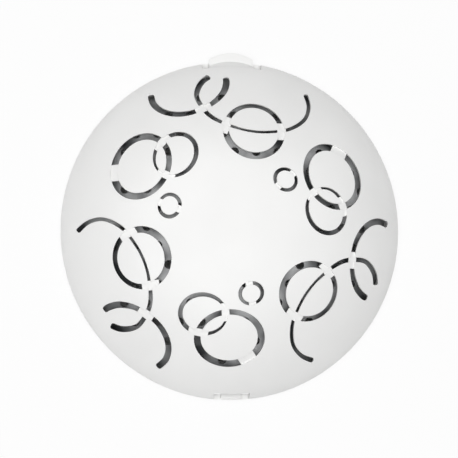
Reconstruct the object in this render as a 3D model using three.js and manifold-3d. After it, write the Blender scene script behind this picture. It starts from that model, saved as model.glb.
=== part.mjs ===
// A round washroom deodorizer: a white domed cover with ring-shaped slots, clipped over
// a wall base, with a perforated scented screen between them.
// It lies on its back: the back of the base is on Z = 0, the dome faces +Z and the
// finger tab points along +Y. The origin is on the dome's axis at the back face.

import * as THREE from 'three';
import { mergeVertices } from 'three/addons/utils/BufferGeometryUtils.js';
import Module from 'manifold-3d';

const wasm = await Module();
wasm.setup();

// Driving dimensions, in millimetres and degrees

// Cover: a short straight skirt that rolls over into a flat-topped dome
const COVER_RADIUS = 75;
const COVER_WALL = 2.2;
const SKIRT_TOP = 4;
const SKIRT_FOOT = 0.6;
const DOME_RISE = 27;
const DOME_FLATNESS = 3;
const DOME_SHOULDER = 0.77;
const GROOVE_DEPTH = 0.9;
const PLAIN_RIM_BAND = 6.3;

// Windows through the skirt, for the finger tab and for the hook
const TAB_WINDOW_WIDTH = 26.4;
const HOOK_WINDOW_WIDTH = 15.8;
const WINDOW_FOOT = 2.9;
const WINDOW_HEIGHT = 6.1;

// Screen: a perforated dome that stands on the base, under the cover
const SCREEN_WALL = 2;
const SCREEN_TOP_GAP = 2.6;
const SCREEN_SIDE_GAP = 1.6;
const SCREEN_HOLE_DIAMETER = 3.8;
const SCREEN_HOLE_PITCH = 9.4;
const SCREEN_PLAIN_EDGE = 7;

// Base: a plate with a wall that centres the cover, and a low ring inside the screen
const PLATE_THICKNESS = 2;
const CENTRING_WALL = 2;
const SCREEN_RING_WALL = 1.5;
const SCREW_HOLE_DIAMETER = 4.6;
const SCREW_HOLE_SPACING = 60;

// Finger tab: a flat lip with an arched end, and a ramp that the cover snaps over
const TAB_WIDTH = 19.6;
const TAB_REACH = 3.9;
const TAB_END_RADIUS = 18;
const TAB_LIP_DEPTH = 3.8;
const TAB_LIP_THICKNESS = 1.6;
const TAB_RAMP_RISE = 3.4;
const TAB_RAMP_RADIUS = 24;

// Hook: a tongue whose end stands back a little from the face of the skirt
const HOOK_WIDTH = 9.1;
const HOOK_SETBACK = 0.5;
const HOOK_THICKNESS = 1.8;

// Clearances between pieces
const FIT_GAP = 0.3;
const COVER_SIDE_GAP = 0.5;

// Fineness of round shapes
const DOME_STEPS = 48;
const PROFILE_STEPS = 8;
const HOLE_SIDES = 6;

// Slot pattern of one third of the cover, seen from the front. It is drawn for a cover
// whose slots reach DRAWN_REACH from the axis, and drawn again at 120 and 240 degrees.
const DRAWN_REACH = 68.7;
const SECTORS = 3;

// Each ring lies between two ellipses, with their own centres: half-lengths, then turn
const RINGS = [
  { name: 'big', outer: [-40.2, 25.8, 15.2, 12.35, 61], inner: [-39.9, 25.75, 12.2, 9.75, 61], sides: 26 },
  { name: 'medium', outer: [-25.5, 30.65, 10.6, 9.15, 50], inner: [-25.85, 30.3, 9.1, 7.4, 50], sides: 22 },
  { name: 'small', outer: [-28.1, 8.55, 5.6, 5.1, 78], inner: [-28.2, 8.6, 3.95, 3.7, 78], sides: 16 },
  { name: 'wheel', outer: [8.15, 41.15, 13.5, 12.4, 165], inner: [8.15, 41.7, 10.9, 9.9, 165], sides: 26 },
];

// Each curved slot runs through stations: x, y and its width there
const CURVES = [
  {
    name: 'open bowl',
    steps: 20,
    stations: [
      [-35.9, 58.4, 2.9],
      [-34.6, 53.6, 2.9],
      [-30.6, 50.1, 2.6],
      [-24.6, 48.7, 2.4],
      [-17.5, 49.7, 2.1],
      [-9.4, 53.7, 2.2],
      [-4.6, 58.8, 2.8],
      [-3.0, 63.4, 3],
      [-3.2, 66.2, 2.8],
    ],
  },
  {
    name: 'long wave',
    steps: 30,
    stations: [
      [-10.2, 66.8, 2.6],
      [-13.7, 63.8, 2.6],
      [-15.8, 59.6, 2.4],
      [-15.8, 55.6, 2.1],
      [-12.4, 49.7, 2],
      [-7.6, 45.9, 1.8],
      [1.3, 42.3, 1.2],
      [9.5, 40.8, 1.2],
      [17.6, 41.1, 1.3],
      [24.6, 42.7, 1.6],
      [30.8, 47.1, 1.7],
      [33.1, 53.2, 1.9],
      [32.2, 59.3, 2.3],
    ],
  },
];

// Bridges carry the islands across the slots: centre, length, width and turn
const BRIDGES = [
  { name: 'between the rings, above', at: [-31.3, 36.1], length: 8.5, width: 3.2, turn: 49 },
  { name: 'between the rings, below', at: [-29.7, 21.9], length: 7.7, width: 3.3, turn: -25 },
  { name: 'outside the big ring', at: [-51, 23.2], length: 7.2, width: 5.6, turn: 94 },
  { name: 'across the small ring', at: [-28.1, 8.6], length: 14, width: 3.1, turn: -19.5 },
  { name: 'where the curves cross', at: [-13.4, 51.5], length: 7.2, width: 3.5, turn: 26 },
  { name: 'left of the wheel', at: [-3.9, 43.8], length: 7.3, width: 4.1, turn: 67 },
  { name: 'right of the wheel', at: [20.3, 41.2], length: 7.4, width: 3.8, turn: 90 },
];

// Sizes that follow from the driving dimensions
const patternScale = (COVER_RADIUS - PLAIN_RIM_BAND) / DRAWN_REACH;
const coverTop = SKIRT_TOP + DOME_RISE;
const windowTop = WINDOW_FOOT + WINDOW_HEIGHT;
const coverInnerRadius = COVER_RADIUS - COVER_WALL;
const baseRadius = coverInnerRadius - COVER_SIDE_GAP;
const centringWallTop = SKIRT_TOP;
const screenRadius = baseRadius - CENTRING_WALL - SCREEN_SIDE_GAP;
const screenFoot = PLATE_THICKNESS + FIT_GAP;
const screenRingTop = SKIRT_TOP - FIT_GAP;
const screenTop = coverTop - COVER_WALL - SCREEN_TOP_GAP;
const beyond = 10;

// Shapes

function radians(degrees) {
  return THREE.MathUtils.degToRad(degrees);
}

// Height of a flat-topped dome above its shoulder, at a distance from the axis
function domeHeight(distance, radius, rise) {
  const share = Math.min(distance / radius, 1);
  return rise * (1 - share ** DOME_FLATNESS) ** DOME_SHOULDER;
}

// Points from the shoulder to the apex, closer together where the dome turns down
function domeCurve(radius, shoulder, rise) {
  const points = [];
  for (let step = 0; step <= PROFILE_STEPS; step += 1) {
    const distance = radius * Math.cos((step / PROFILE_STEPS) * (Math.PI / 2)) ** 0.8;
    points.push(new THREE.Vector2(distance, shoulder + domeHeight(distance, radius, rise)));
  }
  points[PROFILE_STEPS].x = 0;
  return points;
}

// A solid dome with a straight skirt below its shoulder
function domeSolid(radius, foot, shoulder, rise) {
  const profile = [new THREE.Vector2(0, foot), new THREE.Vector2(radius, foot), ...domeCurve(radius, shoulder, rise)];
  return revolve(profile, DOME_STEPS);
}

function revolve(profile, steps) {
  const geometry = new THREE.LatheGeometry(profile, steps);
  geometry.rotateX(Math.PI / 2);
  return solidOf(geometry);
}

// A closed solid from a geometry, with its shared corners merged
function solidOf(geometry) {
  const bare = geometry.clone();
  bare.deleteAttribute('normal');
  bare.deleteAttribute('uv');
  const merged = mergeVertices(bare, 1e-5);
  const corners = merged.index.array;
  const kept = [];
  for (let i = 0; i < corners.length; i += 3) {
    const [a, b, c] = [corners[i], corners[i + 1], corners[i + 2]];
    if (a !== b && b !== c && c !== a) kept.push(a, b, c);
  }
  const mesh = new wasm.Mesh({
    numProp: 3,
    vertProperties: Float32Array.from(merged.attributes.position.array),
    triVerts: Uint32Array.from(kept),
  });
  return new wasm.Manifold(mesh);
}

function unite(solids) {
  return solids.reduce((whole, solid) => whole.add(solid));
}

// A straight prism over a flat outline
function prism(shape, bottom, top) {
  const geometry = new THREE.ExtrudeGeometry(shape, { depth: top - bottom, bevelEnabled: false, steps: 1 });
  geometry.translate(0, 0, bottom);
  return solidOf(geometry);
}

function box(xMin, xMax, yMin, yMax, zMin, zMax) {
  const geometry = new THREE.BoxGeometry(xMax - xMin, yMax - yMin, zMax - zMin);
  geometry.translate((xMin + xMax) / 2, (yMin + yMax) / 2, (zMin + zMax) / 2);
  return solidOf(geometry);
}

// An upright tube wall around the axis
function tubeWall(innerRadius, outerRadius, bottom, top) {
  const profile = [
    new THREE.Vector2(innerRadius, bottom),
    new THREE.Vector2(outerRadius, bottom),
    new THREE.Vector2(outerRadius, top),
    new THREE.Vector2(innerRadius, top),
    new THREE.Vector2(innerRadius, bottom),
  ];
  return revolve(profile, DOME_STEPS);
}

function ellipsePoints([x, y, halfLength, halfWidth, turn], sides) {
  const points = [];
  for (let i = 0; i < sides; i += 1) {
    const angle = (i / sides) * 2 * Math.PI;
    const point = new THREE.Vector2(halfLength * Math.cos(angle), halfWidth * Math.sin(angle));
    points.push(point.rotateAround(new THREE.Vector2(), radians(turn)).add(new THREE.Vector2(x, y)));
  }
  return points;
}

// The flat outline of a ring slot
function ringShape(ring) {
  const scaled = (points) => points.map((point) => point.multiplyScalar(patternScale));
  const shape = new THREE.Shape(scaled(ellipsePoints(ring.outer, ring.sides)));
  shape.holes.push(new THREE.Path(scaled(ellipsePoints(ring.inner, ring.sides))));
  return shape;
}

// The flat outline of a curved slot, whose width changes along it
function curveShape(curve) {
  const places = curve.stations.map(([x, y]) => new THREE.Vector3(x, y, 0));
  const widths = curve.stations.map(([, , width], i) => new THREE.Vector3(i, width, 0));
  const line = new THREE.CatmullRomCurve3(places, false, 'centripetal');
  const widthLine = new THREE.CatmullRomCurve3(widths, false, 'centripetal');
  const left = [];
  const right = [];
  for (let step = 0; step <= curve.steps; step += 1) {
    const share = step / curve.steps;
    const place = line.getPoint(share);
    const along = line.getTangent(share);
    const half = widthLine.getPoint(share).y / 2;
    const side = new THREE.Vector2(-along.y, along.x).multiplyScalar(half);
    const centre = new THREE.Vector2(place.x, place.y);
    left.push(centre.clone().add(side).multiplyScalar(patternScale));
    right.push(centre.clone().sub(side).multiplyScalar(patternScale));
  }
  return new THREE.Shape([...left, ...right.reverse()]);
}

function bridgeShape(bridge) {
  const centre = new THREE.Vector2(...bridge.at);
  const corners = [[-1, -1], [1, -1], [1, 1], [-1, 1]].map(([alongSide, acrossSide]) => {
    const corner = new THREE.Vector2((alongSide * bridge.length) / 2, (acrossSide * bridge.width) / 2);
    return corner.rotateAround(new THREE.Vector2(), radians(bridge.turn)).add(centre).multiplyScalar(patternScale);
  });
  return new THREE.Shape(corners);
}

// Pieces

// A window through the skirt on the side that faces +Y or -Y
function skirtWindow(width, side) {
  const near = coverInnerRadius - COVER_WALL * 2;
  const far = COVER_RADIUS + beyond;
  const [yMin, yMax] = side > 0 ? [near, far] : [-far, -near];
  return box(-width / 2, width / 2, yMin, yMax, WINDOW_FOOT, windowTop);
}

function frontCover() {
  const outside = domeSolid(COVER_RADIUS, SKIRT_FOOT, SKIRT_TOP, DOME_RISE);
  const inside = domeSolid(coverInnerRadius, SKIRT_FOOT - beyond, SKIRT_TOP, DOME_RISE - COVER_WALL);
  const belowGroove = domeSolid(COVER_RADIUS, SKIRT_FOOT - beyond, SKIRT_TOP - GROOVE_DEPTH, DOME_RISE);
  const low = SKIRT_TOP;
  const high = coverTop + beyond;
  const drawn = unite([
    ...RINGS.map((ring) => prism(ringShape(ring), low, high)),
    ...CURVES.map((curve) => prism(curveShape(curve), low, high)),
  ]);
  const bridges = unite(BRIDGES.map((bridge) => prism(bridgeShape(bridge), low - 1, high + 1)));
  const slots = drawn.subtract(bridges);
  const grooves = drawn.intersect(bridges).subtract(belowGroove);
  const cut = slots.add(grooves);
  let cover = outside.subtract(inside);
  for (let sector = 0; sector < SECTORS; sector += 1) {
    cover = cover.subtract(cut.rotate([0, 0, (360 / SECTORS) * sector]));
  }
  cover = cover.subtract(skirtWindow(TAB_WINDOW_WIDTH, 1));
  return cover.subtract(skirtWindow(HOOK_WINDOW_WIDTH, -1));
}

// Places on a lattice of equal triangles, within a distance of the axis
function latticePlaces(pitch, reach) {
  const places = [];
  const rowPitch = pitch * Math.sin(radians(60));
  const rows = Math.ceil(reach / rowPitch);
  const columns = Math.ceil(reach / pitch) + 1;
  for (let row = -rows; row <= rows; row += 1) {
    for (let column = -columns; column <= columns; column += 1) {
      const place = new THREE.Vector2((column + (row % 2 === 0 ? 0 : 0.5)) * pitch, row * rowPitch);
      if (place.length() <= reach) places.push(place);
    }
  }
  return places;
}

function deodorizerScreen() {
  const rise = screenTop - SKIRT_TOP;
  const outside = domeSolid(screenRadius, screenFoot, SKIRT_TOP, rise);
  const inside = domeSolid(screenRadius - SCREEN_WALL, screenFoot - beyond, SKIRT_TOP, rise - SCREEN_WALL);
  const holeReach = screenRadius - SCREEN_PLAIN_EDGE;
  const holes = latticePlaces(SCREEN_HOLE_PITCH, holeReach).map((place) => {
    const outline = ellipsePoints([place.x, place.y, SCREEN_HOLE_DIAMETER / 2, SCREEN_HOLE_DIAMETER / 2, 0], HOLE_SIDES);
    return prism(new THREE.Shape(outline), SKIRT_TOP, screenTop + beyond);
  });
  return outside.subtract(inside).subtract(unite(holes));
}

// The lip and the ramp are each turned about the centre of their own arched edge, then cut to width
function fingerTab() {
  const end = COVER_RADIUS + TAB_REACH;
  const lipFoot = WINDOW_FOOT + FIT_GAP;
  const lipTop = lipFoot + TAB_LIP_THICKNESS;
  const rampTop = lipTop + TAB_RAMP_RISE;
  const lip = tubeWall(0, TAB_END_RADIUS, lipFoot, lipTop).translate([0, end - TAB_END_RADIUS, 0]);
  const rampProfile = [
    new THREE.Vector2(0, lipFoot),
    new THREE.Vector2(TAB_RAMP_RADIUS, lipFoot),
    new THREE.Vector2(TAB_RAMP_RADIUS, lipTop),
    new THREE.Vector2(TAB_RAMP_RADIUS - TAB_RAMP_RISE, rampTop),
    new THREE.Vector2(0, rampTop),
  ];
  const ramp = revolve(rampProfile, DOME_STEPS).translate([0, end - TAB_LIP_DEPTH - TAB_RAMP_RADIUS, 0]);
  const turned = lip.add(ramp);
  const armInside = baseRadius - CENTRING_WALL;
  const kept = box(-TAB_WIDTH / 2, TAB_WIDTH / 2, armInside, end + beyond, 0, rampTop + beyond);
  const arm = box(-TAB_WIDTH / 2, TAB_WIDTH / 2, armInside, baseRadius, PLATE_THICKNESS / 2, lipTop);
  const round = tubeWall(0, baseRadius, 0, rampTop);
  return turned.intersect(kept).add(arm.intersect(round));
}

function hook() {
  const foot = WINDOW_FOOT + FIT_GAP;
  const inner = baseRadius - CENTRING_WALL;
  const reach = COVER_RADIUS - HOOK_SETBACK;
  const tongue = box(-HOOK_WIDTH / 2, HOOK_WIDTH / 2, -reach, -inner, foot, foot + HOOK_THICKNESS);
  const arm = box(-HOOK_WIDTH / 2, HOOK_WIDTH / 2, -baseRadius, -inner, PLATE_THICKNESS / 2, foot + HOOK_THICKNESS);
  return tongue.add(arm).intersect(tubeWall(0, reach, 0, foot + beyond));
}

function backBase() {
  const plate = tubeWall(0, baseRadius, 0, PLATE_THICKNESS);
  const centring = tubeWall(baseRadius - CENTRING_WALL, baseRadius, PLATE_THICKNESS / 2, centringWallTop);
  const ringOutside = screenRadius - SCREEN_WALL - FIT_GAP;
  const ring = tubeWall(ringOutside - SCREEN_RING_WALL, ringOutside, PLATE_THICKNESS / 2, screenRingTop);
  const screwHoles = [-1, 1].map((side) => {
    const outline = [(side * SCREW_HOLE_SPACING) / 2, 0, SCREW_HOLE_DIAMETER / 2, SCREW_HOLE_DIAMETER / 2, 0];
    return prism(new THREE.Shape(ellipsePoints(outline, HOLE_SIDES * 2)), -beyond, beyond);
  });
  return unite([plate, centring, ring, fingerTab(), hook()]).subtract(unite(screwHoles));
}

// Scene graph

const whitePlastic = { color: 0xf4f4f3, roughness: 0.42, metalness: 0 };
const greyVinyl = { color: 0x77797b, roughness: 0.35, metalness: 0 };

function piece(name, solid, finish) {
  const { vertProperties, triVerts, numProp } = solid.getMesh();
  const positions = new Float32Array((vertProperties.length / numProp) * 3);
  for (let i = 0; i < positions.length / 3; i += 1) {
    for (let axis = 0; axis < 3; axis += 1) positions[i * 3 + axis] = vertProperties[i * numProp + axis];
  }
  const geometry = new THREE.BufferGeometry();
  geometry.setAttribute('position', new THREE.BufferAttribute(positions, 3));
  geometry.setIndex(new THREE.BufferAttribute(Uint32Array.from(triVerts), 1));
  const mesh = new THREE.Mesh(geometry, new THREE.MeshStandardMaterial(finish));
  mesh.name = name;
  return mesh;
}

const deodorizer = new THREE.Group();
deodorizer.add(piece('front_cover', frontCover(), whitePlastic));
deodorizer.add(piece('deodorizer_screen', deodorizerScreen(), greyVinyl));
deodorizer.add(piece('back_base', backBase(), whitePlastic));

export default deodorizer;
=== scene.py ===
import math

import bpy
from mathutils import Matrix, Vector


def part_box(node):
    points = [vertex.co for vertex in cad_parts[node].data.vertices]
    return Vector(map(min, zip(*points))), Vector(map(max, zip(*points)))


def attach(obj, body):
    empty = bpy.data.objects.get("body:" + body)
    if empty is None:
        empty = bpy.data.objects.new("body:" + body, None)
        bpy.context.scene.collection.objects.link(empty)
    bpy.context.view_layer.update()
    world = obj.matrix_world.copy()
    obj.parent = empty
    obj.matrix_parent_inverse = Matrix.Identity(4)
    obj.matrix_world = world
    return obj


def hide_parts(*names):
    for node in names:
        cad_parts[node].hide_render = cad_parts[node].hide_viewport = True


# A round washroom deodorizer lying on its back: a white domed cover with ring-shaped slots,
# a grey perforated screen under it and a white wall base with a finger tab and a hook.

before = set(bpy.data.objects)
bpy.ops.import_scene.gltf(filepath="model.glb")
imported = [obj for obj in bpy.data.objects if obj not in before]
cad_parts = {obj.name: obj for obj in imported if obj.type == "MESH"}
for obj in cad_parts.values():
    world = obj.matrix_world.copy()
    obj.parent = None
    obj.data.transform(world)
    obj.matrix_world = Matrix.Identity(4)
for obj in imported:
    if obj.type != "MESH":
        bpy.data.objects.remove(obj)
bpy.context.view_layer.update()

MM = 0.001

# Sizes of the pieces, from the frame and from the way they are made
cover_low, cover_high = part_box("front_cover")
screen_low, screen_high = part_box("deodorizer_screen")
base_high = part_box("back_base")[1]

COVER_RADIUS = cover_high.x
COVER_TOP = cover_high.z
COVER_FOOT = cover_low.z
COVER_WALL = 2.2 * MM
SKIRT_TOP = 4 * MM
DOME_FLATNESS = 3
DOME_SHOULDER = 0.77
GROOVE_DEPTH = 0.9 * MM

SCREEN_RADIUS = screen_high.x
SCREEN_TOP = screen_high.z
SCREEN_FOOT = screen_low.z
SCREEN_WALL = 2 * MM
SCREEN_HOLE = 3.8 * MM
SCREEN_PITCH = 9.4 * MM
SCREEN_PLAIN_EDGE = 7 * MM

BASE_RADIUS = base_high.x
PLATE_THICKNESS = 2 * MM
TAB_TOP = base_high.z
TAB_END = base_high.y

# The slot pattern of one third of the cover, in millimetres, seen from the front.
# A ring lies between two ellipses: centre, half-lengths and turn in degrees.
RINGS = [
    {"outer": (-40.2, 25.8, 15.2, 12.35, 61), "inner": (-39.9, 25.75, 12.2, 9.75, 61)},
    {"outer": (-25.5, 30.65, 10.6, 9.15, 50), "inner": (-25.85, 30.3, 9.1, 7.4, 50)},
    {"outer": (-28.1, 8.55, 5.6, 5.1, 78), "inner": (-28.2, 8.6, 3.95, 3.7, 78)},
    {"outer": (8.15, 41.15, 13.5, 12.4, 165), "inner": (8.15, 41.7, 10.9, 9.9, 165)},
]
# A curved slot runs through stations: x, y and its width there.
OPEN_BOWL = [
    (-35.9, 58.4, 2.9), (-34.6, 53.6, 2.9), (-30.6, 50.1, 2.6), (-24.6, 48.7, 2.4),
    (-17.5, 49.7, 2.1), (-9.4, 53.7, 2.2), (-4.6, 58.8, 2.8), (-3.0, 63.4, 3), (-3.2, 66.2, 2.8),
]
LONG_WAVE = [
    (-10.2, 66.8, 2.6), (-13.7, 63.8, 2.6), (-15.8, 59.6, 2.4), (-15.8, 55.6, 2.1),
    (-12.4, 49.7, 2), (-7.6, 45.9, 1.8), (1.3, 42.3, 1.2), (9.5, 40.8, 1.2), (17.6, 41.1, 1.3),
    (24.6, 42.7, 1.6), (30.8, 47.1, 1.7), (33.1, 53.2, 1.9), (32.2, 59.3, 2.3),
]
# A bridge carries an island across a slot: centre, length, width and turn.
BRIDGES = [
    (-31.3, 36.1, 8.5, 3.2, 49),
    (-29.7, 21.9, 7.7, 3.3, -25),
    (-51, 23.2, 7.2, 5.6, 94),
    (-28.1, 8.6, 14, 3.1, -19.5),
    (-13.4, 51.5, 7.2, 3.5, 26),
    (-3.9, 43.8, 7.3, 4.1, 67),
    (20.3, 41.2, 7.4, 3.8, 90),
]
SECTOR_TURN = math.radians(120)
RING_SIDES = (96, 80, 48, 96)
# How far the grooves over the bridges run on into the slots, and the rounding of the slots' free
# ends with the largest share of the half width that it may take, in millimetres
GROOVE_OVERLAP = 0.16
END_CORNER = 0.9
END_SHARE = 0.9
END_MARGIN = 1.1


# Helpers for working as at the bench: one piece active, everything else deselected

def only(piece):
    bpy.ops.object.select_all(action="DESELECT")
    piece.select_set(True)
    bpy.context.view_layer.objects.active = piece


def deselect():
    bpy.ops.object.select_all(action="DESELECT")


def settle(piece):
    """Put a piece's place and turn into its mesh."""
    only(piece)
    bpy.ops.object.transform_apply(location=True, rotation=True, scale=True)


def join(first, others):
    deselect()
    for piece in others:
        piece.select_set(True)
    first.select_set(True)
    bpy.context.view_layer.objects.active = first
    bpy.ops.object.join()
    return first


def named(name):
    piece = bpy.context.object
    piece.name = name
    piece.data.name = name
    return piece


def copy_of(piece, name):
    twin = piece.copy()
    twin.data = piece.data.copy()
    twin.name = name
    bpy.context.collection.objects.link(twin)
    return twin


def drop(piece):
    mesh = piece.data
    bpy.data.objects.remove(piece)
    bpy.data.meshes.remove(mesh)


def apply_modifier(piece, kind, **settings):
    only(piece)
    modifier = piece.modifiers.new(kind.title(), kind)
    for key, value in settings.items():
        setattr(modifier, key, value)
    bpy.ops.object.modifier_apply(modifier=modifier.name)


def cut(piece, cutter, operation="DIFFERENCE", solver="EXACT"):
    apply_modifier(piece, "BOOLEAN", operation=operation, solver=solver, object=cutter)


def dome_height(distance, radius, rise):
    """Height of a flat-topped dome above its shoulder."""
    share = min(distance / radius, 1.0)
    return rise * (1 - share ** DOME_FLATNESS) ** DOME_SHOULDER


def dome_distance(height, radius, rise):
    """Distance from the axis at which the dome has this height above its shoulder."""
    share = 1 - (max(height, 0.0) / rise) ** (1 / DOME_SHOULDER)
    return radius * max(share, 0.0) ** (1 / DOME_FLATNESS)


# Slot cutters: straight-walled blocks standing on the flat blank

def block(name, outline, bottom, top):
    """A straight block over a flat outline, given in millimetres."""
    mesh = bpy.data.meshes.new(name)
    count = len(outline)
    corners = [(x * MM, y * MM, bottom) for x, y in outline]
    corners += [(x * MM, y * MM, top) for x, y in outline]
    sides = [(i, (i + 1) % count, (i + 1) % count + count, i + count) for i in range(count)]
    caps = [tuple(reversed(range(count))), tuple(range(count, 2 * count))]
    mesh.from_pydata(corners, [], sides + caps)
    piece = bpy.data.objects.new(name, mesh)
    bpy.context.collection.objects.link(piece)
    return piece


def ellipse_outline(x, y, half_length, half_width, turn, sides):
    ca, sa = math.cos(math.radians(turn)), math.sin(math.radians(turn))
    outline = []
    for i in range(sides):
        angle = 2 * math.pi * i / sides
        u, v = half_length * math.cos(angle), half_width * math.sin(angle)
        outline.append((x + u * ca - v * sa, y + u * sa + v * ca))
    return outline


def smooth_stations(stations, steps):
    """Points and widths on a smooth line through the stations, evenly parted between them."""
    line = []
    last = len(stations) - 1
    for i in range(last):
        near = (max(0, min(last, j)) for j in (i - 1, i, i + 1, i + 2))
        before, start, end, after = (stations[j] for j in near)
        for step in range(steps):
            t = step / steps
            line.append(tuple(
                0.5 * (2 * b + (c - a) * t + (2 * a - 5 * b + 4 * c - d) * t ** 2
                       + (3 * b - a - 3 * c + d) * t ** 3)
                for a, b, c, d in zip(before, start, end, after)
            ))
    line.append(stations[last])
    return line


def rounded_end(line, corner, steps=5):
    """The line and its half widths, with the corners at its start rounded."""
    start, ahead = line[0], line[2]
    run = math.hypot(ahead[0] - start[0], ahead[1] - start[1])
    along = ((ahead[0] - start[0]) / run, (ahead[1] - start[1]) / run)
    radius = min(corner, start[2] * END_SHARE)
    made = []
    for step in range(steps + 1):
        turn = math.pi / 2 * step / steps
        reach = radius * (1 - math.cos(turn))
        made.append((start[0] + along[0] * reach, start[1] + along[1] * reach,
                     start[2] - radius + radius * math.sin(turn)))
    far = [point for point in line
           if math.hypot(point[0] - start[0], point[1] - start[1]) > radius * END_MARGIN]
    return made + far


def curve_outline(stations, steps=8):
    """The outline of a curved slot, with its end corners rounded."""
    line = [(x, y, width / 2) for x, y, width in smooth_stations(stations, steps)]
    line = rounded_end(line, END_CORNER)
    line = rounded_end(line[::-1], END_CORNER)[::-1]
    left, right = [], []
    for i, (x, y, half) in enumerate(line):
        ahead, behind = line[min(i + 1, len(line) - 1)], line[max(i - 1, 0)]
        run = math.hypot(ahead[0] - behind[0], ahead[1] - behind[1])
        nx, ny = -(ahead[1] - behind[1]) / run, (ahead[0] - behind[0]) / run
        left.append((x + nx * half, y + ny * half))
        right.append((x - nx * half, y - ny * half))
    return right + left[::-1]


def bridge_outline(x, y, length, width, turn):
    ca, sa = math.cos(math.radians(turn)), math.sin(math.radians(turn))
    corners = [(-1, -1), (1, -1), (1, 1), (-1, 1)]
    return [
        (x + a * length / 2 * ca - b * width / 2 * sa,
         y + a * length / 2 * sa + b * width / 2 * ca)
        for a, b in corners
    ]


def slot_cutters(bottom, top, groove_floor):
    """Two cutters: the slots right through, and the shallow grooves over the bridges."""
    drawn = None
    for i, ring in enumerate(RINGS):
        outer = ellipse_outline(*ring["outer"], RING_SIDES[i])
        inner = ellipse_outline(*ring["inner"], RING_SIDES[i])
        solid = block(f"ring_{i}", outer, bottom, top)
        core = block(f"core_{i}", inner, bottom * 2, top * 2)
        cut(solid, core)
        drop(core)
        if drawn is None:
            drawn = solid
        else:
            cut(drawn, solid, "UNION")
            drop(solid)
    for i, stations in enumerate((OPEN_BOWL, LONG_WAVE)):
        curve = block(f"curve_{i}", curve_outline(stations), bottom, top)
        cut(drawn, curve, "UNION")
        drop(curve)
    grooves = copy_of(drawn, "grooves")
    uses = ((grooves, "INTERSECT", GROOVE_OVERLAP), (drawn, "DIFFERENCE", 0))
    for piece, operation, margin in uses:
        bridges = []
        for i, (x, y, length, width, turn) in enumerate(BRIDGES):
            outline = bridge_outline(x, y, length + margin, width + margin, turn)
            bridges.append(block(f"bridge_{i}", outline, bottom * 3, top * 3))
        carried = join(bridges[0], bridges[1:])
        cut(piece, carried, operation)
        drop(carried)
    for vertex in grooves.data.vertices:
        if vertex.co.z < groove_floor:
            vertex.co.z = groove_floor
    return drawn, grooves


def in_three(piece):
    """Copies of a cutter at each third of the turn, joined."""
    copies = []
    for sector in (1, 2):
        twin = copy_of(piece, f"{piece.name}_{sector}")
        twin.rotation_euler.z = SECTOR_TURN * sector
        settle(twin)
        copies.append(twin)
    return join(piece, copies)


# Dome shells: a flat blank is slotted and then pressed to the dome

BLANK_SIDES = 240
TOUCHING = 1e-6
# The crossing cuts lie off the axis, so that none runs through a corner of the blank
GRID_OFFSET = 0.37
SLICE_MERGE = 1e-7
# Rings round the shoulder, as shares of its height, and the rounding of the foot
SHOULDER_FALLS = (0.86, 0.72, 0.59, 0.47, 0.36, 0.26, 0.17, 0.09, 0.035, 0)
FOOT_ROUNDING = 0.35 * MM
ROUND_SHARE = 0.3


def flat_blank(name, radius, wall):
    """A flat round blank with its top face upwards."""
    deselect()
    bpy.ops.mesh.primitive_circle_add(vertices=BLANK_SIDES, radius=radius, fill_type="NGON")
    blank = named(name)
    bpy.ops.object.mode_set(mode="EDIT")
    bpy.ops.mesh.select_all(action="SELECT")
    bpy.ops.mesh.extrude_region_move(TRANSFORM_OT_translate={"value": (0, 0, wall)})
    bpy.ops.mesh.select_all(action="SELECT")
    bpy.ops.mesh.normals_make_consistent(inside=False)
    bpy.ops.object.mode_set(mode="OBJECT")
    return blank


def select_only(piece, part, wanted):
    """Select in edit mode the faces or edges that a test accepts."""
    only(piece)
    bpy.ops.object.mode_set(mode="EDIT")
    bpy.ops.mesh.select_mode(type="FACE" if part == "polygons" else "EDGE")
    bpy.ops.mesh.select_all(action="DESELECT")
    bpy.ops.object.mode_set(mode="OBJECT")
    for element in getattr(piece.data, part):
        element.select = wanted(element)
    bpy.ops.object.mode_set(mode="EDIT")


def open_blank(piece, radius):
    """Take away the outer wall of the blank, where the shoulder is drawn on later."""
    near = radius * math.cos(math.pi / BLANK_SIDES) - TOUCHING
    places = [vertex.co.copy() for vertex in piece.data.vertices]

    def on_outer_wall(face):
        level = abs(face.normal.z) < 0.5
        return level and all(places[i].xy.length > near for i in face.vertices)

    select_only(piece, "polygons", on_outer_wall)
    bpy.ops.mesh.delete(type="FACE")
    bpy.ops.object.mode_set(mode="OBJECT")


def slice_fine(piece, reach, step):
    """Part the faces by crossing cuts, so that the flat blank can follow the dome."""
    only(piece)
    bpy.ops.object.mode_set(mode="EDIT")
    count = int(reach / step)
    for normal in ((1, 0, 0), (0, 1, 0)):
        for i in range(-count, count + 1):
            place = Vector(normal) * (i + GRID_OFFSET) * step
            bpy.ops.mesh.select_all(action="SELECT")
            bpy.ops.mesh.bisect(plane_co=place, plane_no=normal, threshold=SLICE_MERGE)
    bpy.ops.object.mode_set(mode="OBJECT")


def press(piece, radius, rise, wall):
    """Lift the slotted blank onto the dome, keeping the wall."""
    for vertex in piece.data.vertices:
        distance = vertex.co.xy.length
        outside = dome_height(distance, radius, rise)
        inside = dome_height(distance, radius - wall, rise - wall)
        vertex.co.z = SKIRT_TOP + inside + (outside - inside) * vertex.co.z / wall


def boundary_loops(piece):
    """The open edges of a piece, as pairs of corners."""
    uses = {}
    for face in piece.data.polygons:
        for key in face.edge_keys:
            uses[key] = uses.get(key, 0) + 1
    return {key for key, count in uses.items() if count == 1}


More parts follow.
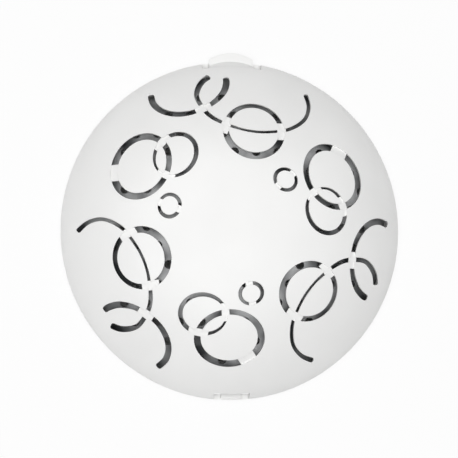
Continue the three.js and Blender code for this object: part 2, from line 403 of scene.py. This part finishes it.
def shoulder_profile(radius, rise, wall, foot, blank_radius):
    """Distance and height of each ring round the shoulder, down the skirt and up inside."""
    profile = []
    outer_height = dome_height(blank_radius, radius, rise)
    inner_height = dome_height(blank_radius, radius - wall, rise - wall)
    for fall in SHOULDER_FALLS:
        height = outer_height * fall
        profile.append((dome_distance(height, radius, rise), SKIRT_TOP + height))
    turn = FOOT_ROUNDING
    profile.append((radius, (SKIRT_TOP + foot) / 2))
    profile.append((radius, foot + turn))
    profile.append((radius - turn * ROUND_SHARE, foot + turn * ROUND_SHARE))
    profile.append((radius - turn, foot))
    profile.append((radius - wall + turn, foot))
    profile.append((radius - wall + turn * ROUND_SHARE, foot + turn * ROUND_SHARE))
    profile.append((radius - wall, foot + turn))
    for fall in reversed(SHOULDER_FALLS):
        height = inner_height * fall
        profile.append((dome_distance(height, radius - wall, rise - wall), SKIRT_TOP + height))
    return profile


def draw_shoulder(piece, profile):
    """Draw the open outer edge round the shoulder, down to the foot and back up inside."""
    places = [vertex.co.copy() for vertex in piece.data.vertices]
    open_edges = boundary_loops(piece)
    heights = sorted(places[i].z for key in open_edges for i in key)
    middle = (heights[0] + heights[-1]) / 2
    upper = {key for key in open_edges if places[key[0]].z > middle}
    select_only(piece, "edges", lambda edge: tuple(sorted(edge.vertices)) in upper)
    for distance, height in profile:
        bpy.ops.mesh.extrude_edges_move()
        bpy.ops.object.mode_set(mode="OBJECT")
        for vertex in piece.data.vertices:
            if vertex.select:
                out = vertex.co.xy.normalized() * distance
                vertex.co = (out.x, out.y, height)
        bpy.ops.object.mode_set(mode="EDIT")
    bpy.ops.object.mode_set(mode="OBJECT")
    last_open = boundary_loops(piece)
    select_only(piece, "edges", lambda edge: tuple(sorted(edge.vertices)) in last_open)
    bpy.ops.mesh.bridge_edge_loops()
    bpy.ops.mesh.select_all(action="SELECT")
    bpy.ops.mesh.normals_make_consistent(inside=False)
    bpy.ops.object.mode_set(mode="OBJECT")


def smooth(piece, angle=35):
    only(piece)
    bpy.ops.object.shade_smooth_by_angle(angle=math.radians(angle))
    apply_modifier(piece, "WEIGHTED_NORMAL", keep_sharp=True, weight=90)


# Front cover

COVER_BLANK_RADIUS = 70.8 * MM
COVER_GRID = 2.0 * MM
WINDOW_FOOT = 2.9 * MM
WINDOW_TOP = 9.0 * MM
TAB_WINDOW_WIDTH = 26.4 * MM
HOOK_WINDOW_WIDTH = 15.8 * MM
WINDOW_DEPTH = 8 * MM
WINDOW_ROUNDING = 0.5 * MM


def skirt_window(piece, width, side):
    """Cut a window through the skirt, on the side of the tab or of the hook."""
    deselect()
    centre = (0, side * (COVER_RADIUS - COVER_WALL), (WINDOW_FOOT + WINDOW_TOP) / 2)
    size = (width, WINDOW_DEPTH, WINDOW_TOP - WINDOW_FOOT)
    bpy.ops.mesh.primitive_cube_add(size=1, location=centre, scale=size)
    window = named("window")
    settle(window)
    apply_modifier(window, "BEVEL", width=WINDOW_ROUNDING, segments=3, limit_method="NONE")
    cut(piece, window, solver="MANIFOLD")
    drop(window)


def make_cover():
    rise = COVER_TOP - SKIRT_TOP
    blank = flat_blank("front_cover_shell", COVER_BLANK_RADIUS, COVER_WALL)
    slots, grooves = slot_cutters(-COVER_WALL, COVER_WALL * 2, COVER_WALL - GROOVE_DEPTH)
    cut(blank, in_three(slots))
    cut(blank, in_three(grooves))
    drop(slots)
    drop(grooves)
    open_blank(blank, COVER_BLANK_RADIUS)
    slice_fine(blank, COVER_BLANK_RADIUS, COVER_GRID)
    press(blank, COVER_RADIUS, rise, COVER_WALL)
    profile = shoulder_profile(COVER_RADIUS, rise, COVER_WALL, COVER_FOOT, COVER_BLANK_RADIUS)
    draw_shoulder(blank, profile)
    skirt_window(blank, TAB_WINDOW_WIDTH, 1)
    skirt_window(blank, HOOK_WINDOW_WIDTH, -1)
    smooth(blank)
    return blank


# Deodorizer screen

SCREEN_BLANK_RADIUS = 64.4 * MM
SCREEN_GRID = 3.0 * MM
HOLE_SIDES = 20


def lattice(pitch, reach):
    """Places on a lattice of equal triangles, within a distance of the axis."""
    row_pitch = pitch * math.sin(math.radians(60))
    rows, columns = math.ceil(reach / row_pitch), math.ceil(reach / pitch) + 1
    places = []
    for row in range(-rows, rows + 1):
        for column in range(-columns, columns + 1):
            place = Vector(((column + (row % 2) / 2) * pitch, row * row_pitch))
            if place.length <= reach:
                places.append(place)
    return places


def hole_cutter():
    """All the round holes of the screen, as one cutter."""
    deselect()
    bpy.ops.mesh.primitive_cylinder_add(vertices=HOLE_SIDES, radius=SCREEN_HOLE / 2, depth=SCREEN_WALL * 4)
    first = named("hole")
    copies = []
    for place in lattice(SCREEN_PITCH, SCREEN_RADIUS - SCREEN_PLAIN_EDGE):
        twin = copy_of(first, "hole_copy")
        twin.location = (place.x, place.y, SCREEN_WALL / 2)
        settle(twin)
        copies.append(twin)
    drop(first)
    return join(copies[0], copies[1:])


def make_screen():
    rise = SCREEN_TOP - SKIRT_TOP
    blank = flat_blank("screen_dome", SCREEN_BLANK_RADIUS, SCREEN_WALL)
    holes = hole_cutter()
    cut(blank, holes)
    drop(holes)
    open_blank(blank, SCREEN_BLANK_RADIUS)
    slice_fine(blank, SCREEN_BLANK_RADIUS, SCREEN_GRID)
    press(blank, SCREEN_RADIUS, rise, SCREEN_WALL)
    profile = shoulder_profile(SCREEN_RADIUS, rise, SCREEN_WALL, SCREEN_FOOT, SCREEN_BLANK_RADIUS)
    draw_shoulder(blank, profile)
    smooth(blank)
    return blank


# Wall base

WALL_TOP = 4 * MM
CENTRING_WALL = 2 * MM
RING_OUTSIDE = 66.4 * MM
RING_WALL = 1.5 * MM
RING_TOP = 3.7 * MM
BASE_SIDES = 192
BASE_ROUNDING = 0.3 * MM
SCREW_HOLE = 4.6 * MM
SCREW_HOLE_SIDES = 32
ROUNDED_ABOVE = math.radians(40)
ARM_INSET = 1 * MM
SCREW_SPACING = 60 * MM
TAB_WIDTH = 19.6 * MM
TAB_END_RADIUS = 18 * MM
TAB_LIP_DEPTH = 3.8 * MM
TAB_RAMP_RADIUS = 24 * MM
LIP_FOOT = 3.2 * MM
LIP_TOP = 4.8 * MM
TAB_ROUNDING = 0.45 * MM
HOOK_WIDTH = 9.1 * MM
HOOK_TOP = 5 * MM
HOOK_SETBACK = 0.5 * MM


def cylinder(name, radius, bottom, top, place=(0, 0), sides=BASE_SIDES, top_radius=None):
    """An upright cylinder or cone between two heights."""
    deselect()
    bpy.ops.mesh.primitive_cone_add(
        vertices=sides, radius1=radius, radius2=radius if top_radius is None else top_radius,
        depth=top - bottom, location=(place[0], place[1], (bottom + top) / 2))
    piece = named(name)
    settle(piece)
    return piece


def slab(name, low, high):
    """An upright block between two corners."""
    deselect()
    centre = (Vector(low) + Vector(high)) / 2
    bpy.ops.mesh.primitive_cube_add(size=1, location=centre, scale=Vector(high) - Vector(low))
    piece = named(name)
    settle(piece)
    return piece


def trim(piece, place, away):
    """Cut a closed piece off along a plane, and close the cut."""
    only(piece)
    bpy.ops.object.mode_set(mode="EDIT")
    bpy.ops.mesh.select_all(action="SELECT")
    bpy.ops.mesh.bisect(plane_co=place, plane_no=away, use_fill=True, clear_outer=True)
    bpy.ops.object.mode_set(mode="OBJECT")


def inset_and_lift(thickness, lift):
    """Inset the selected face and move the inner face up or down."""
    bpy.ops.mesh.inset(thickness=thickness)
    bpy.ops.mesh.extrude_region_move(TRANSFORM_OT_translate={"value": (0, 0, lift)})


def make_plate():
    """The plate with its centring wall and, inside, the low ring that holds the screen."""
    plate = cylinder("wall_base", BASE_RADIUS, 0, WALL_TOP)
    select_only(plate, "polygons", lambda face: face.normal.z > 0.5)
    inset_and_lift(CENTRING_WALL, PLATE_THICKNESS - WALL_TOP)
    inset_and_lift(BASE_RADIUS - CENTRING_WALL - RING_OUTSIDE, 0)
    bpy.ops.transform.translate(value=(0, 0, RING_TOP - PLATE_THICKNESS))
    inset_and_lift(RING_WALL, PLATE_THICKNESS - RING_TOP)
    bpy.ops.object.mode_set(mode="OBJECT")
    for side in (-1, 1):
        hole = cylinder("screw_hole", SCREW_HOLE / 2, -MM, PLATE_THICKNESS + MM,
                        (side * SCREW_SPACING / 2, 0), SCREW_HOLE_SIDES)
        cut(plate, hole)
        drop(hole)
    apply_modifier(plate, "BEVEL", width=BASE_ROUNDING, segments=3, limit_method="ANGLE",
                   angle_limit=ROUNDED_ABOVE)
    return plate


def make_tab():
    """The finger tab: a lip with an arched end, and a ramp that the cover snaps over."""
    lip_centre = (0, TAB_END - TAB_END_RADIUS)
    ramp_centre = (0, TAB_END - TAB_LIP_DEPTH - TAB_RAMP_RADIUS)
    ramp_end = TAB_RAMP_RADIUS - TAB_TOP + LIP_TOP
    tab = cylinder("tab", TAB_END_RADIUS, LIP_FOOT, LIP_TOP, lip_centre)
    ramp = cylinder("ramp", TAB_RAMP_RADIUS, LIP_TOP, TAB_TOP, ramp_centre, top_radius=ramp_end)
    cut(tab, ramp, "UNION")
    drop(ramp)
    inside = BASE_RADIUS - CENTRING_WALL
    trim(tab, (0, inside, 0), (0, -1, 0))
    trim(tab, (TAB_WIDTH / 2, 0, 0), (1, 0, 0))
    trim(tab, (-TAB_WIDTH / 2, 0, 0), (-1, 0, 0))
    apply_modifier(tab, "BEVEL", width=TAB_ROUNDING, segments=4, limit_method="ANGLE",
                   angle_limit=ROUNDED_ABOVE)
    arm_end = math.sqrt(BASE_RADIUS ** 2 - (TAB_WIDTH / 2) ** 2)
    half_width = TAB_WIDTH / 2 - ARM_INSET
    arm = slab("tab_arm", (-half_width, inside + ARM_INSET / 2, PLATE_THICKNESS / 2),
               (half_width, arm_end, LIP_FOOT + ARM_INSET))
    cut(tab, arm, "UNION")
    drop(arm)
    return tab


def make_hook():
    """The hook: a short tongue through the lower window."""
    inside = BASE_RADIUS - CENTRING_WALL
    reach = COVER_RADIUS - HOOK_SETBACK
    hook = slab("hook", (-HOOK_WIDTH / 2, -reach - MM, LIP_FOOT),
                (HOOK_WIDTH / 2, -inside, HOOK_TOP))
    disc = cylinder("disc", reach, 0, HOOK_TOP + MM)
    cut(hook, disc, "INTERSECT")
    drop(disc)
    apply_modifier(hook, "BEVEL", width=BASE_ROUNDING, segments=3, limit_method="ANGLE",
                   angle_limit=ROUNDED_ABOVE)
    half_width = HOOK_WIDTH / 2 - ARM_INSET
    arm = slab("hook_arm", (-half_width, BASE_ROUNDING - BASE_RADIUS, PLATE_THICKNESS / 2),
               (half_width, -inside - ARM_INSET / 2, LIP_FOOT + ARM_INSET))
    cut(hook, arm, "UNION")
    drop(arm)
    return hook


def make_base():
    plate = make_plate()
    for part in (make_tab(), make_hook()):
        cut(plate, part, "UNION")
        drop(part)
    smooth(plate, 30)
    return plate


# Materials

def linear(code):
    """A colour written as an sRGB hex value, in linear light."""
    light = []
    for i in (1, 3, 5):
        c = int(code[i:i + 2], 16) / 255
        light.append(c / 12.92 if c <= 0.04045 else ((c + 0.055) / 1.055) ** 2.4)
    return (*light, 1.0)


def add(tree, kind, settings=(), links=()):
    """Add a node with its settings and its links."""
    node = tree.nodes.new(kind)
    for key, value in dict(settings).items():
        if key in node.inputs:
            node.inputs[key].default_value = value
        else:
            setattr(node, key, value)
    for key, source in dict(links).items():
        tree.links.new(source, node.inputs[key])
    return node


def new_material(name):
    material = bpy.data.materials.new(name)
    material.use_nodes = True
    tree = material.node_tree
    tree.nodes.clear()
    return material, tree


def moulded_plastic(name, shades, cloud, roughness, grain, peel_depth, **shader):
    """An injection-moulded plastic: cloudy colour between two shades, over a fine skin. On the white
    plastics the cloud is their own flow in the mould; on the vinyl it is painted light and shade.
    """
    material, tree = new_material(name)
    place = add(tree, "ShaderNodeTexCoord").outputs["Object"]
    # On the vinyl this cloud is painted light and shade, the lit patches and shadows under the cover's
    # slots; on the white plastics it is their own uneven tone from the mould.
    flow_and_painted_light = add(tree, "ShaderNodeTexNoise", {"Scale": 1 / cloud, "Detail": 1.5}, {"Vector": place})
    share = add(tree, "ShaderNodeMapRange", {"From Min": 0.36, "From Max": 0.62},
                {"Value": flow_and_painted_light.outputs["Fac"]})
    tint = add(tree, "ShaderNodeMix", {"data_type": "RGBA"}, {"Factor": share.outputs["Result"]})
    tint.inputs[6].default_value = linear(shades[0])
    tint.inputs[7].default_value = linear(shades[1])
    skin = add(tree, "ShaderNodeTexNoise", {"Scale": 1 / grain, "Detail": 3.0}, {"Vector": place})
    gloss = add(tree, "ShaderNodeMapRange", {"To Min": roughness[0], "To Max": roughness[1]},
                {"Value": skin.outputs["Fac"]})
    bump = add(tree, "ShaderNodeBump", {"Strength": 0.4, "Distance": peel_depth},
               {"Height": skin.outputs["Fac"]})
    surface = add(tree, "ShaderNodeBsdfPrincipled", shader,
                  {"Base Color": tint.outputs[2], "Roughness": gloss.outputs["Result"],
                   "Normal": bump.outputs["Normal"]})
    add(tree, "ShaderNodeOutputMaterial", {}, {"Surface": surface.outputs["BSDF"]})
    return material


def dress(piece, material, slot, *nodes):
    """Give a finished piece its material and its place in the part."""
    piece.data.materials.clear()
    piece.data.materials.append(material)
    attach(piece, "root")
    if nodes:
        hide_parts(*nodes)


# White high-impact polystyrene, injection moulded: a clean satin skin with soft highlights.
white_cover = moulded_plastic("satin_white_polystyrene", ("#f9f9f8", "#f6f6f5"), 30 * MM,
                              (0.4, 0.46), 1.6 * MM, 0.02 * MM, IOR=1.5)
# The same plastic on the base, a little duller because its mould is less polished.
white_base = moulded_plastic("matt_white_polystyrene", ("#f8f8f7", "#f5f5f4"), 24 * MM,
                             (0.44, 0.52), 1.2 * MM, 0.03 * MM, IOR=1.5)
# Scented grey vinyl, moulded: its cloudy dark and pale patches are painted shade and painted light,
# for the shadows of the cover's bars and the light that falls through the slots, and a soft gloss catches
# the light where the skin is wavy.
grey_vinyl = moulded_plastic("grey_vinyl_painted_light", ("#3e4042", "#c2c3c4"), 15 * MM, (0.22, 0.38),
                             8 * MM, 0.8 * MM, IOR=1.53)

cover = make_cover()
dress(cover, white_cover, "cover_plastic", "front_cover")
screen = make_screen()
dress(screen, grey_vinyl, "screen_vinyl", "deodorizer_screen")
base = make_base()
dress(base, white_base, "base_plastic", "back_base")


# Floor, light and camera

FLOOR_SIZE = 6
FLOOR_DROP = 0.2 * MM
# Share of plain white in the floor as the camera sees it; the rest keeps the shadow
FLOOR_WHITE = 0.88
KEY_PLACE = (-0.10, -0.03, 1.1)
KEY_SIZE = 1.3
KEY_POWER = 12.2
WALL_LIGHT = 0.55
CEILING_LIGHT = 0.08
CEILING_FROM = 0.9
CAMERA_DISTANCE = 0.668
CAMERA_LEFT = 4.5
CAMERA_BELOW = 3.83
CAMERA_AIM = (-0.0005, 0.00067, 0.0)
PHOTO_WIDTH = 458
RIM_PIXELS = 168.3


def make_floor():
    deselect()
    bpy.ops.mesh.primitive_plane_add(size=FLOOR_SIZE, location=(0, 0, -FLOOR_DROP))
    floor = named("floor")
    material, tree = new_material("white_floor")
    matt = add(tree, "ShaderNodeBsdfDiffuse", {"Color": linear("#f7f7f7")})
    glow = add(tree, "ShaderNodeEmission", {"Color": (1, 1, 1, 1), "Strength": 1.0})
    path = add(tree, "ShaderNodeLightPath")
    seen = add(tree, "ShaderNodeMath", {"operation": "MAXIMUM"})
    tree.links.new(path.outputs["Is Camera Ray"], seen.inputs[0])
    tree.links.new(path.outputs["Is Glossy Ray"], seen.inputs[1])
    also = add(tree, "ShaderNodeMath", {"operation": "MAXIMUM"})
    tree.links.new(seen.outputs[0], also.inputs[0])
    tree.links.new(path.outputs["Is Transmission Ray"], also.inputs[1])
    share = add(tree, "ShaderNodeMath", {"operation": "MULTIPLY"})
    tree.links.new(also.outputs[0], share.inputs[0])
    share.inputs[1].default_value = FLOOR_WHITE
    mixed = add(tree, "ShaderNodeMixShader")
    tree.links.new(share.outputs[0], mixed.inputs[0])
    tree.links.new(matt.outputs[0], mixed.inputs[1])
    tree.links.new(glow.outputs[0], mixed.inputs[2])
    add(tree, "ShaderNodeOutputMaterial", {}, {"Surface": mixed.outputs[0]})
    floor.data.materials.append(material)


def aim(thing, target):
    """Turn a lamp or the camera to face a target, with +Y upwards in its view."""
    back = (thing.location - Vector(target)).normalized()
    right = Vector((0, 1, 0)).cross(back).normalized()
    thing.rotation_euler = Matrix((right, back.cross(right), back)).transposed().to_euler()


def soft_lamp(name, place, target, size, power):
    data = bpy.data.lights.new(name, "AREA")
    data.shape = "DISK"
    data.size = size
    data.energy = power
    lamp = bpy.data.objects.new(name, data)
    bpy.context.collection.objects.link(lamp)
    lamp.location = place
    aim(lamp, target)


def make_camera():
    data = bpy.data.cameras.new("camera")
    camera = bpy.data.objects.new("camera", data)
    bpy.context.collection.objects.link(camera)
    left, below = math.radians(CAMERA_LEFT), math.radians(CAMERA_BELOW)
    direction = Vector((-math.sin(left), -math.sin(below) * math.cos(left),
                        math.cos(below) * math.cos(left)))
    camera.location = Vector(CAMERA_AIM) + direction * CAMERA_DISTANCE
    aim(camera, CAMERA_AIM)
    field = PHOTO_WIDTH * COVER_RADIUS / RIM_PIXELS
    data.lens = data.sensor_width * CAMERA_DISTANCE / field
    data.clip_start = 0.01
    bpy.context.scene.camera = camera


def make_world():
    """A white room whose walls are brighter than its ceiling, so that the rim stays light."""
    world = bpy.data.worlds.new("room")
    world.use_nodes = True
    tree = world.node_tree
    tree.nodes.clear()
    place = add(tree, "ShaderNodeTexCoord").outputs["Generated"]
    split = add(tree, "ShaderNodeSeparateXYZ", {}, {"Vector": place})
    height = add(tree, "ShaderNodeMapRange", {"From Min": 0.0, "From Max": CEILING_FROM,
                                              "To Min": WALL_LIGHT, "To Max": CEILING_LIGHT},
                 {"Value": split.outputs["Z"]})
    room = add(tree, "ShaderNodeBackground", {}, {"Strength": height.outputs["Result"]})
    add(tree, "ShaderNodeOutputWorld", {}, {"Surface": room.outputs["Background"]})
    bpy.context.scene.world = world


make_floor()
soft_lamp("key", KEY_PLACE, (0, 0, 0), KEY_SIZE, KEY_POWER)
make_world()
make_camera()
bpy.context.scene.view_settings.view_transform = "Standard"
